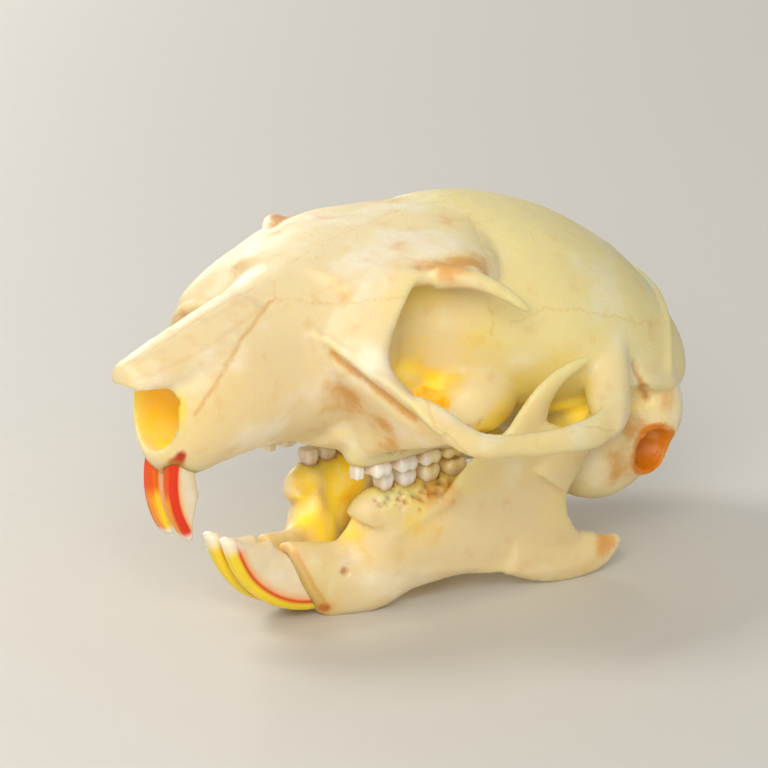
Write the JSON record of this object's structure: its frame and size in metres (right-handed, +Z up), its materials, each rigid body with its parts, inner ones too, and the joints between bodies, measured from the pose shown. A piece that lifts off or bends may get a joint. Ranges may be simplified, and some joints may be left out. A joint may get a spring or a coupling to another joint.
{
  "type": "squirrel skull",
  "caption": "Dry skull of a tree squirrel with its lower jaw closed, orange front teeth and open cheek arches, resting on chin and jaw angles.",
  "frame": {"origin": "middle of the bounding box at the level of the surface that the chin and the angles of the jaw rest on", "axes": "+Z up; the snout points to -Y and the back of the braincase to +Y; +X is the skull's own left side; x = 0 is the middle plane"},
  "size_m": [0.0321, 0.0506, 0.0277],
  "materials": {
    "bone": "satin, cream to yellow",
    "incisor_enamel": "glossy orange",
    "tooth_enamel": "glossy off-white"
  },
  "bodies": {
    "root": {"cranium": "bone", "left_dentary": "bone", "right_dentary": "bone", "upper_left_incisor": "incisor_enamel", "lower_left_incisor": "incisor_enamel", "upper_left_premolar_3": "tooth_enamel", "upper_left_premolar_4": "tooth_enamel", "upper_left_molar_1": "tooth_enamel", "upper_left_molar_2": "tooth_enamel", "upper_left_molar_3": "tooth_enamel", "lower_left_premolar_4": "tooth_enamel", "lower_left_molar_1": "tooth_enamel", "lower_left_molar_2": "tooth_enamel", "lower_left_molar_3": "tooth_enamel", "upper_right_incisor": "incisor_enamel", "lower_right_incisor": "incisor_enamel", "upper_right_premolar_3": "tooth_enamel", "upper_right_premolar_4": "tooth_enamel", "upper_right_molar_1": "tooth_enamel", "upper_right_molar_2": "tooth_enamel", "upper_right_molar_3": "tooth_enamel", "lower_right_premolar_4": "tooth_enamel", "lower_right_molar_1": "tooth_enamel", "lower_right_molar_2": "tooth_enamel", "lower_right_molar_3": "tooth_enamel"}
  },
  "joints": []
}
